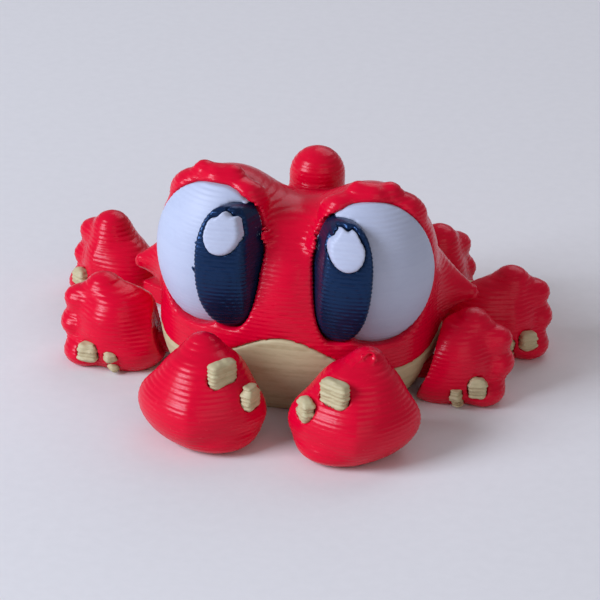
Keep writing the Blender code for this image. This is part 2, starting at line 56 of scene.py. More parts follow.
# Every piece is printed flat on the floor, so they all share one set of layers.
printing = {
    "layer": 0.4,  # mm, height of one printed line
    "steps": 3,  # samples up each layer
    "stepped": 0.4,  # on an upright face: 1 is a full step from layer to layer, and 0 a smooth slope
    "coarser": 1.0,
    "margin": 2,  # samples that a form's grid reaches past its box
    "least": 0.1,  # share of a layer's height below which it isn't printed
    "reach": 0.25,  # mm either side of the skin that the samples tell apart
    "waves": (4.7, 2.3, 1.1),  # mm, lengths of the waves in a line that wavers
}
# How each kind of piece is laid down, in mm. across: between samples; seam: how far the skin goes in between
# two lines; uneven: how far one line stands out past the next; waver: how far a line strays along its way;
# spare: how far past its solid's box the piece may go.
ways = {
    "shell": {"across": 0.21, "seam": 0.13, "uneven": 0.003, "waver": 0.003, "spare": 0.3},
    "belly": {"across": 0.2, "seam": 0.025, "uneven": 0.001, "waver": 0.001, "spare": 0.3},
    "limb": {"across": 0.14, "seam": 0.11, "uneven": 0.002, "waver": 0.002, "spare": 0.0},
    "eye": {"across": 0.15, "seam": 0.025, "uneven": 0.001, "waver": 0.001, "spare": 0.3},
    "pupil": {"across": 0.12, "seam": 0.12, "uneven": 0.002, "waver": 0.002, "spare": 1.2},
    "glint": {"across": 0.1, "seam": 0.04, "uneven": 0.003, "waver": 0.003, "spare": 0.8},
    "nail": {"across": 0.1, "seam": 0.26, "uneven": 0.05, "waver": 0.04, "spare": 1.2},
}


def toLinear(hexColour):
    parts = [int(hexColour[k:k + 2], 16) / 255 for k in (0, 2, 4)]
    return tuple(c / 12.92 if c <= 0.04045 else ((c + 0.055) / 1.055) ** 2.4 for c in parts) + (1.0,)


def addNode(tree, kind, settings, links={}):
    node = tree.nodes.new(kind)
    for key, value in settings.items():
        if isinstance(key, str) and hasattr(node, key):
            setattr(node, key, value)
        else:
            node.inputs[key].default_value = value
    for key, source in links.items():
        tree.links.new(source, node.inputs[key])
    return node


# Plastics. Each is the colour of its filament, a little uneven from layer to layer and along each line.
# shine is the strength of the gloss, and tint its colour.
plastics = {
    # satin PLA, FDM-printed: deep crimson, with a pinkish shine along the lines that face the lamp
    "red satin PLA, FDM-printed":
        {"colour": "dc002e", "dark": "d4002c", "rough": (0.22, 0.28), "shine": 0.24, "tint": "ffffff"},
    # matte PLA, FDM-printed: warm and soft, nearly no shine
    "cream matte PLA, FDM-printed":
        {"colour": "c4b890", "dark": "b4a67e", "rough": (0.42, 0.56), "shine": 0.4, "tint": "ffffff"},
    # matte PLA, FDM-printed: cool white, nearly even
    "white matte PLA, FDM-printed":
        {"colour": "b9c1d6", "dark": "b5bdd3", "rough": (0.40, 0.50), "shine": 0.4, "tint": "ffffff"},
    # satin PLA, FDM-printed: blue-black, and the one that shows its shine the most; the shine's blue tint is
    # a painted reflection, standing in for bluish light from the left
    "black satin PLA, FDM-printed":
        {"colour": "0d1e3b", "dark": "0b1932", "rough": (0.26, 0.34), "shine": 0.8, "tint": "80b4ff"},
}
grain = {
    "ior": 1.46,
    "alongLine": 1.2,  # mm, length of a streak along a line
    "layerShade": 0.35,  # how much a layer's own shade counts, where a streak counts 1
    "shades": (0.35, 0.75),  # of the two together, where the dark colour ends and the plain one starts
    "streaks": (0.3, 0.7),  # of the streaks alone, from the least rough to the roughest
    "speck": 0.12,  # mm, size of the fine grain in the skin
    "speckHeight": 0.006,  # mm
    "speckStrength": 0.6,
}


def makePlastic(name):
    plastic = plastics[name]
    made = bpy.data.materials.new(name)
    made.use_nodes = True
    tree = made.node_tree
    shader = tree.nodes["Principled BSDF"]
    shader.inputs["IOR"].default_value = grain["ior"]
    shader.inputs["Specular IOR Level"].default_value = plastic["shine"]
    # the tint colours the shine; on the black it is a painted blue reflection of bluish light
    shader.inputs["Specular Tint"].default_value = toLinear(plastic["tint"])
    place = addNode(tree, "ShaderNodeTexCoord", {}).outputs["Object"]
    # a streak is long along the line and one layer high
    perLength, perLayer = 1 / (grain["alongLine"] * mm), 1 / (printing["layer"] * mm)
    along = addNode(tree, "ShaderNodeVectorMath",
                    {"operation": "MULTIPLY", 1: (perLength, perLength, perLayer)}, {0: place})
    streak = addNode(tree, "ShaderNodeTexNoise", {"Scale": 1.0, "Detail": 3.0, "Roughness": 0.6},
                     {"Vector": along.outputs[0]})
    # each layer keeps one shade of its own
    height = addNode(tree, "ShaderNodeSeparateXYZ", {}, {0: place}).outputs["Z"]
    count = addNode(tree, "ShaderNodeMath", {"operation": "MULTIPLY", 1: perLayer}, {0: height})
    whole = addNode(tree, "ShaderNodeMath", {"operation": "FLOOR"}, {0: count.outputs[0]})
    shade = addNode(tree, "ShaderNodeTexWhiteNoise", {"noise_dimensions": "1D"}, {"W": whole.outputs[0]})
    mixed = addNode(tree, "ShaderNodeMath", {"operation": "MULTIPLY_ADD", 1: grain["layerShade"]},
                    {0: shade.outputs["Value"], 2: streak.outputs[0]})
    colour = addNode(tree, "ShaderNodeValToRGB", {}, {0: mixed.outputs[0]})
    for end, position, shadeName in zip(colour.color_ramp.elements, grain["shades"], ("dark", "colour")):
        end.position = position
        end.color = toLinear(plastic[shadeName])
    tree.links.new(colour.outputs["Color"], shader.inputs["Base Color"])
    spans = {"From Min": grain["streaks"][0], "From Max": grain["streaks"][1],
             "To Min": plastic["rough"][0], "To Max": plastic["rough"][1]}
    rough = addNode(tree, "ShaderNodeMapRange", spans, {"Value": streak.outputs[0]})
    tree.links.new(rough.outputs[0], shader.inputs["Roughness"])
    speck = addNode(tree, "ShaderNodeTexNoise", {"Scale": 1 / (grain["speck"] * mm), "Detail": 2.0},
                    {"Vector": place})
    bump = addNode(tree, "ShaderNodeBump",
                   {"Strength": grain["speckStrength"], "Distance": grain["speckHeight"] * mm},
                   {"Height": speck.outputs[0]})
    tree.links.new(bump.outputs[0], shader.inputs["Normal"])
    return made


materials = {name.split()[0]: makePlastic(name) for name in plastics}
print("plastics made")


# Forms, each a function of how many mm its points lie outside it

def lumpDistance(points, centre, radii):
    scaled = (points - np.array(centre)) / np.array(radii)
    near = np.linalg.norm(scaled, axis=-1)
    slope = np.linalg.norm(scaled / np.array(radii), axis=-1)
    return near * (near - 1) / np.maximum(slope, 1e-6)


def keeledDistance(points, centre, radii, keel):
    # a lump with a keel on each of its four sides: 2 is a plain lump, and less a sharper one
    away = points - np.array(centre)
    u, v, z = np.moveaxis(np.abs(away / np.array(radii)), -1, 0)
    near = np.sqrt((u ** keel + v ** keel) ** (2 / keel) + z * z)
    return np.linalg.norm(away, axis=-1) * (near - 1) / np.maximum(near, 1e-6)


def rodDistance(points, start, end, startRadius, endRadius):
    start, end = np.array(start), np.array(end)
    along = end - start
    share = np.clip((points - start) @ along / (along @ along), 0, 1)
    nearest = start + share[..., None] * along
    return np.linalg.norm(points - nearest, axis=-1) - startRadius - share * (endRadius - startRadius)


def squarishDistance(points, halfSizes, squareness):
    near = sum(np.abs(points[..., k] / h) ** squareness for k, h in enumerate(halfSizes)) ** (1 / squareness)
    away = np.sqrt(sum(points[..., k] ** 2 for k in range(len(halfSizes))))
    return away * (near - 1) / np.maximum(near, 1e-6)


def runTogether(first, second, blend):
    overlap = np.maximum(blend - np.abs(first - second), 0) / blend
    return np.minimum(first, second) - overlap * overlap * blend / 4


def cutRounded(first, second, blend):
    return -runTogether(-first, -second, blend)


def printForm(name, form, nodeName, finish, body, way, seed, hairs=None):
    # Slices a form as a printer does: each layer keeps to its outline at mid height, more or less, and level
    # faces come out smoother than steep ones. Hairs of plastic are finer than a layer and lie on top.
    laid = ways[way]
    low, high = [np.array(corner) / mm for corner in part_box(nodeName)]
    low, high = low - laid["spare"], high + laid["spare"]
    across, layer, steps = laid["across"] * printing["coarser"], printing["layer"], printing["steps"]
    margin = printing["margin"]
    xs, ys = [np.arange(low[k] - margin * across, high[k] + (margin + 1) * across, across) for k in (0, 1)]
    first = max(math.floor(low[2] / layer + printing["least"]), 0)
    levels = np.arange(first, math.ceil(high[2] / layer - printing["least"]))
    places = np.stack(np.meshgrid(xs, ys, np.append(levels, levels[-1] + 1) * layer, indexing="ij"), axis=-1)
    between = form(places)
    places, skin = places[:, :, :-1], (between[:, :, :-1] + between[:, :, 1:]) / 2
    slope = between[:, :, 1:] - between[:, :, :-1]
    steep = np.clip(1 - (slope / layer) ** 2, 0, 1)
    slope = slope * (1 - printing["stepped"] * steep)
    chance = np.random.default_rng(seed)
    skin = skin + chance.normal(0, laid["uneven"], len(levels)) + laid["uneven"] + laid["waver"]
    for waveLength in printing["waves"]:
        phase = chance.uniform(0, 2 * math.pi, (2, len(levels)))
        skin = skin + laid["waver"] * np.sin(places[..., 0] * 2 * math.pi / waveLength + phase[0]) \
            * np.sin(places[..., 1] * 2 * math.pi / waveLength + phase[1])
    up = (np.arange(steps) + 0.5) / steps
    field = np.repeat(skin, steps, axis=2) + np.repeat(slope, steps, axis=2) * np.tile(up - 0.5, len(levels))
    field += np.repeat(laid["seam"] * steep, steps, axis=2) * np.tile((2 * up - 1) ** 2, len(levels))
    if hairs:
        heights = (first + (np.arange(len(levels) * steps) + 0.5) / steps) * layer
        field = np.minimum(field, hairs(np.stack(np.meshgrid(xs, ys, heights, indexing="ij"), axis=-1)))
    reach = printing["reach"]
    field = np.pad(np.clip(field, -reach, reach), 1, constant_values=reach)
    volume = openvdb.FloatGrid(reach)
    volume.copyFromArray(field.astype(np.float32))
    points, quads = volume.convertToQuads(isovalue=0.0)
    step = np.array([across, across, layer / steps])
    start = np.array([xs[0], ys[0], (first + 0.5 / steps) * layer])
    points = (points - 1) * step + start
    mesh = bpy.data.meshes.new(name)
    mesh.from_pydata(points * mm, [], quads[:, ::-1])
    mesh.validate()
    mesh.shade_smooth()
    mesh.materials.append(materials[finish])
    made = bpy.data.objects.new(name, mesh)
    bpy.context.scene.collection.objects.link(made)
    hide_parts(nodeName)
    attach(made, body)
    print("  %s: %d faces" % (name, len(quads)))
    return made


def at(point, side=1):
    return np.array([middle[0] + side * point[0], middle[1] + point[1], point[2]])


def onHead(point, side):
    return at(point, side) - np.array([0, 0, side * dome["uneven"]])


# Body: a squarish trunk with an eye dome each side, a bridge between, a knob behind and a spine each side
trunk = {
    "height": 6.0,  # of its widest level
    "halfWidth": 13.4,
    "halfLength": 11.4,
    "rise": 10.7,
    "drop": 10.0,
    "back": 11.9,  # from the middle of the figure to its rearmost point
    "planSquareness": 2.4,
    "sideSquareness": 2.2,
    "blend": 2.4,
}
dome = {
    "centre": (6.6, -2.4, 13.6),
    "radii": (6.6, 6.9, 7.2),
    "uneven": 0.25,  # mm that the left one stands higher and the right one lower
}
bridge = {"centre": (0, -2.4, 11.8), "radii": (4.8, 7.3, 6.6)}
brow = {
    "radii": (0.5, 1.15, 1.2, 1.15, 0.6),  # along its line, which fades out beside the nose
    "ridgeBlend": 1.7,
    "nubRadius": 0.85,
    "blend": 0.9,
    # in shares of the dome's radii
    "line": [
        (-0.58, -0.78, 0.47),
        (-0.35, -0.49, 0.85),
        (0.09, -0.32, 0.96),
        (0.52, -0.17, 0.79),
        (0.71, -0.07, 0.42),
    ],
    "nubs": [(-0.50, -0.44, 0.83), (-0.13, -0.31, 1.07), (0.33, -0.21, 1.06), (0.67, -0.09, 0.74)],
}
knob = {"foot": (0, 7.6, 13.5), "top": (0, 7.6, 16.8), "radius": 2.7}
spine = {"root": (10.0, 2.0, 9.4), "tip": (15.9, 2.0, 8.5), "rootRadius": 4.2, "tipRadius": 0.8}
rim = {
    "height": 4.4,
    "arch": 3.7,  # higher over the mouth
    "archReach": 6.2,
    "archEnd": -5.0,
    "sideLift": 1.3,  # and beside the legs
    "sideReach": 5.0,
    "sideInset": 4.4,
    "fade": 1.0,
}

# the pins of the claws stand at equal distances either side of the body's middle
middle = np.array([
    (joints["claw_left"]["pos_m"][0] + joints["claw_right"]["pos_m"][0]) / 2 / mm,
    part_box("shell")[1][1] / mm - trunk["back"],
    0.0,
])


def trunkDistance(points):
    centre = at((0, trunk["back"] - trunk["halfLength"], trunk["height"]))
    x, y, z = np.moveaxis(np.abs(points - centre), -1, 0)
    upright = np.where(points[..., 2] > trunk["height"], trunk["rise"], trunk["drop"])
    planPower, sidePower = trunk["planSquareness"], trunk["sideSquareness"]
    plan = (x / trunk["halfWidth"]) ** planPower + (y / trunk["halfLength"]) ** planPower
    near = (plan ** (sidePower / planPower) + (z / upright) ** sidePower) ** (1 / sidePower)
    return np.sqrt(x * x + y * y + z * z) * (near - 1) / np.maximum(near, 1e-6)


def onDome(share, side):
    return onHead([c + s * r for c, s, r in zip(dome["centre"], share, dome["radii"])], side)


def bodyDistance(points):
    form = trunkDistance(points)
    form = runTogether(form, lumpDistance(points, at(bridge["centre"]), bridge["radii"]), trunk["blend"])
    for side in sides.values():
        socket = lumpDistance(points, onHead(dome["centre"], side), dome["radii"])
        form = runTogether(form, socket, trunk["blend"])
        root, tip = at(spine["root"], side), at(spine["tip"], side)
        horn = rodDistance(points, root, tip, spine["rootRadius"], spine["tipRadius"])
        form = runTogether(form, horn, trunk["blend"])
    peg = rodDistance(points, at(knob["foot"]), at(knob["top"]), knob["radius"], knob["radius"])
    form = runTogether(form, peg, brow["blend"])
    for side in sides.values():
        for start, end, thick, thin in zip(brow["line"], brow["line"][1:], brow["radii"], brow["radii"][1:]):
            ridge = rodDistance(points, onDome(start, side), onDome(end, side), thick, thin)
            form = runTogether(form, ridge, brow["ridgeBlend"])
        for nub in brow["nubs"]:
            bump = np.linalg.norm(points - onDome(nub, side), axis=-1) - brow["nubRadius"]
            form = runTogether(form, bump, brow["blend"])
    return form


def aboveRim(points):
    x, y = points[..., 0] - middle[0], points[..., 1] - middle[1]
    ahead = 1 / (1 + np.exp((y - rim["archEnd"]) / rim["fade"]))
    beside = 1 / (1 + np.exp((trunk["halfWidth"] - rim["sideInset"] - np.abs(x)) / rim["fade"]))
    arch = rim["arch"] * ahead * np.exp(-(x / rim["archReach"]) ** 2)
    aside = y - trunk["back"] + trunk["halfLength"]
    lift = rim["sideLift"] * beside * np.exp(-(aside / rim["sideReach"]) ** 2)
    return points[..., 2] - (rim["height"] + arch + lift)


# Eyes: a white ball behind an opening that leans in at its top, with a pupil let into it and a glint in that
eye = {
    "centre": (6.5, -3.4, 13.9),
    "radii": (6.9, 6.3, 8.6),
    "turn": 27.0,  # degrees out to its side
    "lean": 7.0,  # degrees up
    "halfWidth": 5.4,
    "halfHeight": 6.8,
    "squareness": 2.2,
    "topShare": 0.96,
    "topLean": 0.8,
    "back": 2.0,
    "lip": 0.5,  # mm over which the red's edge is rounded
    "tuck": 0.12,  # mm that the white goes in under the red
}
pupil = {
    "halfWidth": 2.15,
    "halfHeight": 5.95,
    "aside": 3.75,
    "drop": 0.35,
    "lean": 5.5,  # degrees, its top out to the side
    "squareness": 2.5,
    "proud": 1.3,
    "round": 0.5,
    "lip": 0.6,
}
glint = {
    "halfWidth": 1.5,
    "halfHeight": 2.0,
    "aside": 0.3,  # from the pupil's middle, towards the nose
    "rise": 3.55,
    "proud": 0.28,
    "deep": 0.6,
    "fray": 0.4,  # how far its top is cut in between the blobs
    "blob": 1.05,  # from blob to blob
    "squareness": 2.0,
    "round": 0.25,
}
# hairs of black that the nozzle left on the white beside the left pupil: ends in the pupil's frame
wisps = {
    "radius": 0.13,
    "runs": [((-2.0, 1.7), (-2.75, 2.15)), ((-2.0, -0.65), (-2.8, -0.6)), ((-2.8, -0.6), (-3.0, -0.3))],
}


def eyePlaces(points, side):
    turn = Matrix.Rotation(side * math.radians(eye["turn"]), 3, "Z")
    lean = Matrix.Rotation(-math.radians(eye["lean"]), 3, "X")
    return (points - onHead(eye["centre"], side)) @ np.array(turn @ lean)


def eyeBall(places, grown):
    return lumpDistance(places, (0, 0, 0), [r + grown for r in eye["radii"]])


def eyeOpening(places, side, grown):
    above = np.maximum(places[..., 2], 0) / eye["topShare"]
    across = places[..., 0] + side * eye["topLean"] * above / eye["halfHeight"]
    flat = np.stack([across, np.minimum(places[..., 2], 0) + above], axis=-1)
    edge = squarishDistance(flat, (eye["halfWidth"], eye["halfHeight"]), eye["squareness"])
    return np.maximum(edge - grown, places[..., 1] + eye["back"])


def pupilPlaces(places, side):
    # the flat frame round the pupil's middle, upright along the pupil
    cos, sin = math.cos(math.radians(pupil["lean"])), side * math.sin(math.radians(pupil["lean"]))
    x, z = places[..., 0] + side * pupil["aside"], places[..., 2] + pupil["drop"]
    return np.stack([x * cos - z * sin, x * sin + z * cos], axis=-1)


def onEye(flat, side):
    cos, sin = math.cos(math.radians(pupil["lean"])), side * math.sin(math.radians(pupil["lean"]))
    x = flat[0] * cos + flat[1] * sin - side * pupil["aside"]
    z = flat[1] * cos - flat[0] * sin - pupil["drop"]
    radii = eye["radii"]
    return (x, -radii[1] * math.sqrt(1 - (x / radii[0]) ** 2 - (z / radii[2]) ** 2), z)


def pupilOutline(places, side):
    halfSizes = (pupil["halfWidth"], pupil["halfHeight"])
    return squarishDistance(pupilPlaces(places, side), halfSizes, pupil["squareness"])


def glintOutline(places, side):
    flat = pupilPlaces(places, side) - np.array([-side * glint["aside"], glint["rise"]])
    edge = squarishDistance(flat, (glint["halfWidth"], glint["halfHeight"]), glint["squareness"])
    # the last lines end in blobs
    high = np.clip(flat[..., 1] / glint["halfHeight"], 0, 1)
    between = (1 + np.sin(2 * math.pi * flat[..., 0] / glint["blob"] + side)) / 2
    return edge + glint["fray"] * high * between


def pupilPlug(places, side):
    return np.maximum(pupilOutline(places, side), places[..., 1] + eye["back"])


def shellForm(points):
    form = np.maximum(bodyDistance(points), -aboveRim(points))
    for side in sides.values():
        places = eyePlaces(points, side)
        form = cutRounded(form, -eyeOpening(places, side, 0), eye["lip"])
        form = cutRounded(form, -pupilPlug(places, side), pupil["lip"])
    return form


def eyeForm(side):
    def form(points):
        places = eyePlaces(points, side)
        ball = np.maximum(eyeBall(places, 0), eyeOpening(places, side, eye["tuck"]))
        return np.maximum(ball, -pupilPlug(places, side) - eye["tuck"])
    return form


def pupilForm(side):
    def form(points):
        places = eyePlaces(points, side)
        pillow = cutRounded(pupilPlug(places, side), eyeBall(places, pupil["proud"]), pupil["round"])
        hole = np.maximum(glintOutline(places, side), -eyeBall(places, pupil["proud"] - glint["deep"]))
        return np.maximum(pillow, -hole)
    return form


def wispForm(points):
    side = sides["left"]
    places = eyePlaces(points, side)
    form = np.inf
    for start, end in wisps["runs"]:
        run = rodDistance(places, onEye(start, side), onEye(end, side), wisps["radius"], wisps["radius"])
        form = np.minimum(form, run)
    return form


def glintForm(side):
    def form(points):
        places = eyePlaces(points, side)
        front = eyeBall(places, pupil["proud"] + glint["proud"])
        plug = cutRounded(glintOutline(places, side), front, glint["round"])
        return np.maximum(plug, -eyeBall(places, pupil["proud"] - glint["deep"]))
    return form


# Limbs: each in its own frame, u out from the body, v to the front (on a claw to the middle), z up
hinge = {
    "pin": 0.75,  # radius
    "gap": 0.35,
    "wall": 0.8,  # of the eyelet
    "height": 2.2,  # of the eyelet's middle
    "half": 1.0,  # from there to its top or its bottom
    "neck": 0.9,  # half the width of the neck from eyelet to limb
    "swing": 0.6,  # clear of the body all through the swing
    "spare": 1.0,  # degrees of swing beyond each end
}
# each lump: its centre, and its radii
legLumps = [
    ((-1.0, 0.0, 3.3), (3.8, 3.6, 3.8)),
    ((-3.6, 0.0, 3.2), (3.8, 3.1, 3.5)),
    ((-0.5, 0.0, 6.7), (2.0, 2.0, 2.0)),
    ((1.9, 0.1, 5.9), (1.5, 1.5, 1.2)),
    ((2.4, 0.2, 3.5), (1.3, 2.0, 1.1)),
    ((0.9, 1.6, 1.2), (2.2, 2.3, 1.5)),
]
shoulder = ((-2.7, 0.1, 5.0), (2.5, 2.2, 2.5))
frontLegLumps = legLumps + [
    ((-3.2, 1.3, 2.0), (3.6, 3.0, 2.6)),
    ((-1.9, 1.7, 3.9), (2.8, 2.4, 3.5)),
    shoulder,
]
slimLegLumps = [legLumps[0], ((-2.7, 0.0, 2.8), (3.2, 3.1, 3.1))] + legLumps[2:]
# each nail: the point that it is aimed at from the core, half its width, and its height
legNails = [((0.6, 4.0, 2.1), 1.0, 2.1), ((-1.6, 4.0, 1.75), 0.65, 1.2), ((-1.3, 3.3, 0.75), 0.6, 0.7)]
leftFrontNails = [((0.3, 4.0, 1.8), 1.15, 2.1), ((-1.9, 4.0, 2.0), 0.7, 1.1), ((-2.2, 3.7, 0.75), 0.65, 0.8)]
rightFrontNails = [((0.7, 4.0, 2.1), 1.05, 2.2), ((-1.3, 4.0, 1.6), 0.65, 1.2), ((-1.1, 3.3, 0.75), 0.6, 0.7)]
clawLumps = [
    ((0.0, 0.0, 3.4), (5.3, 6.1, 3.9)),
    ((-0.6, -0.4, 5.6), (3.8, 4.2, 3.4)),
    ((-1.4, -1.1, 8.3), (1.5, 1.7, 1.6)),
    ((0.6, 1.9, 1.3), (3.7, 3.4, 1.5)),
]
# the left claw's tip stands nearer the middle
leftClawLumps = [
    clawLumps[0],
    ((-0.6, 0.1, 5.6), (3.8, 4.2, 3.4)),
    ((-1.4, -0.3, 8.3), (1.5, 1.7, 1.6)),
    clawLumps[3],
]
leftClawNails = [((2.3, 3.1, 9.1), 1.65, 3.0), ((1.9, 7.3, 6.3), 1.2, 2.5)]
rightClawNails = [((2.6, 2.2, 7.5), 1.65, 3.2), ((2.4, 6.0, 5.9), 1.15, 2.5)]
limbs = {
    # ahead: degrees from straight ahead in the stored pose; reach: mm from the pin to the limb's core
    "claw_left": {"ahead": 3.5, "reach": 10.0, "lumps": leftClawLumps, "nails": leftClawNails},
    "claw_right": {"ahead": 11.0, "reach": 10.0, "lumps": clawLumps, "nails": rightClawNails},
    "leg_1_left": {"ahead": 90.0, "reach": 9.9, "lumps": frontLegLumps, "nails": leftFrontNails},
    "leg_1_right": {"ahead": 90.0, "reach": 7.7, "lumps": frontLegLumps, "nails": rightFrontNails},
    "leg_2_left": {"ahead": 122.5, "reach": 14.8, "lumps": slimLegLumps, "nails": legNails},
    "leg_2_right": {"ahead": 111.5, "reach": 11.3, "lumps": legLumps + [shoulder], "nails": legNails},
    "leg_3_left": {"ahead": 152.0, "reach": 11.2, "lumps": legLumps, "nails": legNails},
    "leg_3_right": {"ahead": 144.0, "reach": 11.2, "lumps": legLumps, "nails": legNails},
}
core = {"height": 3.3, "blend": 1.1, "keel": 1.55}
nail = {
    "proud": 0.75,
    "sunk": 0.8,
    "squareness": 3.4,
    "lapped": 0.12,  # how far the red closes over the edges of a nail
}
# the walk in from outside to where a ray meets the skin: from how far, in how many strides, and a stride's
# share of what is left
ray = {"start": 12.0, "strides": 70, "share": 0.75}
# a curl of plastic that the nozzle pulled off the right claw's tip, as an open ring and a tail
curl = {
    "limb": "claw_right",
    "aim": (-0.2, -1.0, 8.7),
    "radius": 0.6,
    "thick": 0.16,
    "from": -200.0,  # degrees round the ring
    "to": 80.0,
    "runs": 9,
    "tail": (-1.8, -1.2),
    "back": 0.6,  # of the way up the skin, how much goes back and how much goes up
    "up": 0.8,
}


def pinOf(name):
    return np.array(joints[name]["pos_m"]) / mm


def sideOf(name):
    return sides[name.split("_")[-1]]


def outward(name):
    ahead = math.radians(limbs[name]["ahead"])
    return np.array([sideOf(name) * math.sin(ahead), -math.cos(ahead)])


def limbPlaces(name, points):
    # from the row's frame to the limb's own, which stands under its core
    out = outward(name)
    away = points[..., :2] - pinOf(name)[:2]
    u = away @ out
    v = away @ np.array([-out[1], out[0]])
    return np.stack([u - limbs[name]["reach"], -sideOf(name) * v, points[..., 2]], axis=-1)


def limbSkin(name):
    # the lumps run together, less what would come too near the body anywhere in the limb's swing
    pin = pinOf(name)
    least, most = joints[name]["range_deg"]
    turns = [math.radians(t) for t in (least - hinge["spare"], (least + most) / 2, most + hinge["spare"])]

    def form(points):
        places = limbPlaces(name, points)
        made = None
        for centre, radii in limbs[name]["lumps"]:
            lump = keeledDistance(places, centre, radii, core["keel"] if made is None else 2)
            made = lump if made is None else runTogether(made, lump, core["blend"])
        for turn in turns:
            cos, sin = math.cos(turn), math.sin(turn)
            x, y = points[..., 0] - pin[0], points[..., 1] - pin[1]
            turned = [pin[0] + x * cos - y * sin, pin[1] + x * sin + y * cos, points[..., 2]]
            made = np.maximum(made, hinge["swing"] - bodyDistance(np.stack(turned, axis=-1)))
        return made
    return form


def nailStand(name, aim):
    # where a ray from the core meets the skin, and the way out from there
    out, side = outward(name), sideOf(name)
    start = np.array([*(pinOf(name)[:2] + limbs[name]["reach"] * out), core["height"]])
    u, v, z = aim
    way = np.array([*(u * out + side * -v * np.array([-out[1], out[0]])), z - core["height"]])
    way /= np.linalg.norm(way)
    skin, away = limbSkin(name), ray["start"]
    for _ in range(ray["strides"]):
        away -= ray["share"] * skin((start + way * away)[None])[0]
    flat = way[:2] / np.linalg.norm(way[:2])
    centre = start + way * away + np.array([*flat, 0]) * (nail["proud"] - nail["sunk"]) / 2
    return centre, flat


def curlForm(points):
    # lies on the skin: across is level and up is along the slope
    centre = nailStand(curl["limb"], curl["aim"])[0]
    flat = outward(curl["limb"])
    across = np.array([-flat[1], flat[0], 0])
    up = np.array([-flat[0] * curl["back"], -flat[1] * curl["back"], curl["up"]])
    turns = np.radians(np.linspace(curl["from"], curl["to"], curl["runs"] + 1))
    stops = [centre + curl["radius"] * (math.cos(t) * across + math.sin(t) * up) for t in turns]
    stops.append(centre + curl["tail"][0] * across + curl["tail"][1] * up)
    form = np.inf
    for start, end in zip(stops, stops[1:]):
        form = np.minimum(form, rodDistance(points, start, end, curl["thick"], curl["thick"]))
    return form


def nailForm(stand, halfWidth, height, grown=0.0):
    centre, flat = stand

    def form(points):
        away = points - centre
        out, across = away[..., :2] @ flat, away[..., :2] @ np.array([-flat[1], flat[0]])
        places = np.stack([out, across, away[..., 2]], axis=-1)
        halfSizes = ((nail["proud"] + nail["sunk"]) / 2 + grown, halfWidth + grown, height / 2 + grown)
        return squarishDistance(places, halfSizes, nail["squareness"])
    return form


def limbForm(name, nails):
    skin, pin = limbSkin(name), pinOf(name)

    def form(points):
        made = skin(points)
        places = limbPlaces(name, points)
        fromPin = np.linalg.norm(points[..., :2] - pin[:2], axis=-1)
        along = places[..., 0] + limbs[name]["reach"]
        inReach = np.maximum(-along, along - limbs[name]["reach"])
        neck = np.maximum(np.abs(places[..., 1]) - hinge["neck"], inReach)
        eyelet = np.minimum(neck, fromPin - hinge["pin"] - hinge["gap"] - hinge["wall"])
        eyelet = np.maximum(eyelet, np.abs(points[..., 2] - hinge["height"]) - hinge["half"])
        made = np.maximum(np.minimum(made, eyelet), hinge["pin"] + hinge["gap"] - fromPin)
        for recess in nails:
            made = np.maximum(made, -recess(points))
        return made
    return form


def pocketDistance(name, points):
    # room in the belly for an eyelet and its neck, with the pin left standing in it
    pin, out = pinOf(name), outward(name)
    least, most = [math.radians(t) for t in joints[name]["range_deg"]]
    x, y = points[..., 0] - pin[0], points[..., 1] - pin[1]
    far = np.hypot(x, y)
    bearing = np.arctan2(y, x) - math.atan2(out[1], out[0])
    bearing = (bearing + math.pi) % (2 * math.pi) - math.pi
    spare = math.radians(hinge["spare"])
    off = bearing - np.clip(bearing, least - spare, most + spare)
    lane = np.where(np.cos(off) > 0, far * np.abs(np.sin(off)) - hinge["neck"] - hinge["gap"], far)
    room = np.minimum(far - hinge["pin"] - 2 * hinge["gap"] - hinge["wall"], lane)
    room = np.maximum(room, hinge["pin"] - far)
    return np.maximum(room, np.abs(points[..., 2] - hinge["height"]) - hinge["half"] - hinge["gap"])


def bellyForm(points):
    form = np.maximum(trunkDistance(points), aboveRim(points))
    for name in limbs:
        form = np.maximum(form, -pocketDistance(name, points))
    return form


# the numbers that the chances start from, to which a side's or a limb's own number is added
seeds = {
    "shell": 1,
    "belly": 2,
    "eye": 3,
    "pupil": 6,
    "glint": 9,
    "limb": 20,
    "nail": 100,
    "nailsPerLimb": 10,  # kept free for each limb
}

print("printing the body")
printForm("shellPrint", shellForm, "shell", "red", "body", "shell", seeds["shell"])
printForm("bellyPrint", bellyForm, "belly", "cream", "body", "belly", seeds["belly"])
for word, side in sides.items():
    printForm("eyePrint_" + word, eyeForm(side), "eye_" + word, "white", "body", "eye", seeds["eye"] + side)
    stray = wispForm if word == "left" else None
    printForm("pupilPrint_" + word, pupilForm(side), "pupil_" + word, "black", "body", "pupil",
              seeds["pupil"] + side, hairs=stray)
    printForm("glintPrint_" + word, glintForm(side), "glint_" + word, "white", "body", "glint",
              seeds["glint"] + side)

print("printing the limbs")
for count, name in enumerate(limbs):
    stands = [(nailStand(name, aim), halfWidth, height) for aim, halfWidth, height in limbs[name]["nails"]]
    recesses = [nailForm(*stand, grown=-nail["lapped"]) for stand in stands]
    stray = curlForm if name == curl["limb"] else None
    printForm(name + "_print", limbForm(name, recesses), name, "red", name, "limb", seeds["limb"] + count,
              hairs=stray)
    for which, stand in enumerate(stands, 1):
        node = "%s_nail_%d" % (name, which)
        seed = seeds["nail"] + seeds["nailsPerLimb"] * count + which
        printForm(node + "_print", nailForm(*stand), node, "cream", name, "nail", seed)


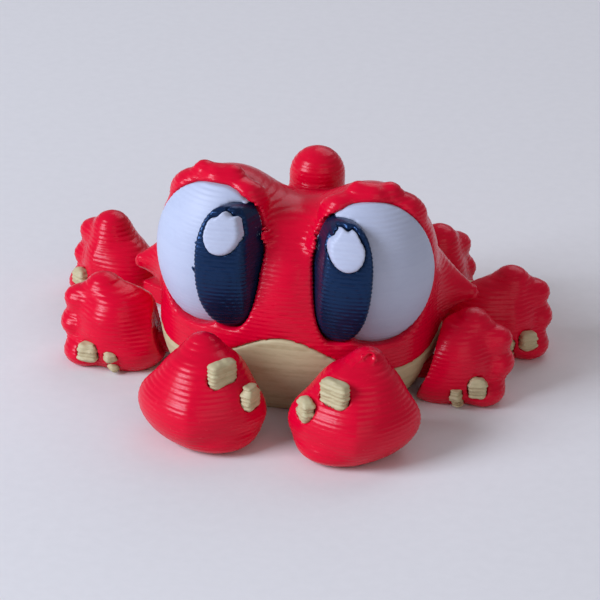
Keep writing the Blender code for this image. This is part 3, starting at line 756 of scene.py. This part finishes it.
# Studio: a pale floor, one broad lamp high on the left, a weaker one on the right and one behind
studio = {
    "floor": ("e3e1df", "e9e7e5"),
    "floorRough": 0.9,
    "floorShine": 0.1,
    "floorFibres": 900.0,  # to a metre
    "floorRadius": 1.5,  # metres
    "floorSides": 64,
    "world": "dfe3ee",
    "worldStrength": 0.30,
    "lampsAimAt": (0, 0, 0.01),  # metres
}
lamps = {  # places and sizes in metres
    "key": {"place": (-0.36, -0.24, 0.26), "size": 0.24, "watts": 2.7, "colour": "e4ecff"},
    "fill": {"place": (0.26, -0.34, 0.22), "size": 0.34, "watts": 0.32, "colour": "ffeeec"},
    "back": {"place": (0.08, 0.36, 0.34), "size": 0.34, "watts": 0.55, "colour": "f4f2ff"},
}


def addStudio():
    mesh = bpy.data.meshes.new("floor")
    radius, count = studio["floorRadius"], studio["floorSides"]
    turns = [2 * math.pi * k / count for k in range(count)]
    ring = [(radius * math.cos(turn), radius * math.sin(turn), 0) for turn in turns]
    mesh.from_pydata(ring, [], [tuple(range(count))])
    # matte paper backdrop: pale, with a faint unevenness that keeps the floor from looking like plain colour
    made = bpy.data.materials.new("paper backdrop, matte")
    made.use_nodes = True
    tree = made.node_tree
    shader = tree.nodes["Principled BSDF"]
    shader.inputs["Roughness"].default_value = studio["floorRough"]
    shader.inputs["Specular IOR Level"].default_value = studio["floorShine"]
    place = addNode(tree, "ShaderNodeTexCoord", {}).outputs["Object"]
    fibre = addNode(tree, "ShaderNodeTexNoise", {"Scale": studio["floorFibres"], "Detail": 3.0},
                    {"Vector": place})
    tone = addNode(tree, "ShaderNodeValToRGB", {}, {0: fibre.outputs[0]})
    for end, shade in zip(tone.color_ramp.elements, studio["floor"]):
        end.color = toLinear(shade)
    tree.links.new(tone.outputs["Color"], shader.inputs["Base Color"])
    mesh.materials.append(made)
    floor = bpy.data.objects.new("floor", mesh)
    bpy.context.scene.collection.objects.link(floor)
    world = bpy.data.worlds.new("studio")
    world.use_nodes = True
    background = world.node_tree.nodes["Background"]
    background.inputs["Color"].default_value = toLinear(studio["world"])
    background.inputs["Strength"].default_value = studio["worldStrength"]
    bpy.context.scene.world = world
    for name, lamp in lamps.items():
        light = bpy.data.lights.new(name, "AREA")
        light.energy = lamp["watts"]
        light.size = lamp["size"]
        light.color = toLinear(lamp["colour"])[:3]
        stand = bpy.data.objects.new(name, light)
        stand.location = lamp["place"]
        aim = Vector(studio["lampsAimAt"]) - Vector(lamp["place"])
        stand.rotation_euler = aim.to_track_quat("-Z", "Y").to_euler()
        bpy.context.scene.collection.objects.link(stand)


# Camera: a little to the right of straight ahead, as seen from the front, and looking down
view = {
    "round": 9.5,  # degrees
    "down": 27.0,
    "roll": 1.3,
    "distance": 300.0,  # mm
    "pixelsPerMm": 10.4,
    "imagePixels": 600,  # width of the photograph
    "floorPixel": (300, 364),  # where the floor under the body's middle is seen
    "sensor": 36.0,  # mm
    "nearest": 0.01,  # metres
}


def addCamera():
    around, down = math.radians(view["round"]), math.radians(view["down"])
    right = Vector((math.cos(around), math.sin(around), 0))
    ahead = Vector((-math.sin(around), math.cos(around), 0))
    look = ahead * math.cos(down) - Vector((0, 0, 1)) * math.sin(down)
    upright = Matrix((right, right.cross(look), -look)).transposed()
    turn = upright @ Matrix.Rotation(math.radians(view["roll"]), 3, "Z")
    half = view["imagePixels"] / 2
    across = (view["floorPixel"][0] - half) / view["pixelsPerMm"]
    up = (half - view["floorPixel"][1]) / view["pixelsPerMm"]
    place = Vector(middle) - look * view["distance"] - turn.col[0] * across - turn.col[1] * up
    camera = bpy.data.objects.new("camera", bpy.data.cameras.new("camera"))
    camera.matrix_world = Matrix.Translation(place * mm) @ turn.to_4x4()
    camera.data.sensor_width = view["sensor"]
    camera.data.lens = view["sensor"] * view["pixelsPerMm"] * view["distance"] / view["imagePixels"]
    camera.data.clip_start = view["nearest"]
    bpy.context.scene.collection.objects.link(camera)
    bpy.context.scene.camera = camera


addStudio()
addCamera()
bpy.context.scene.view_settings.view_transform = "Standard"
print("studio and camera set")
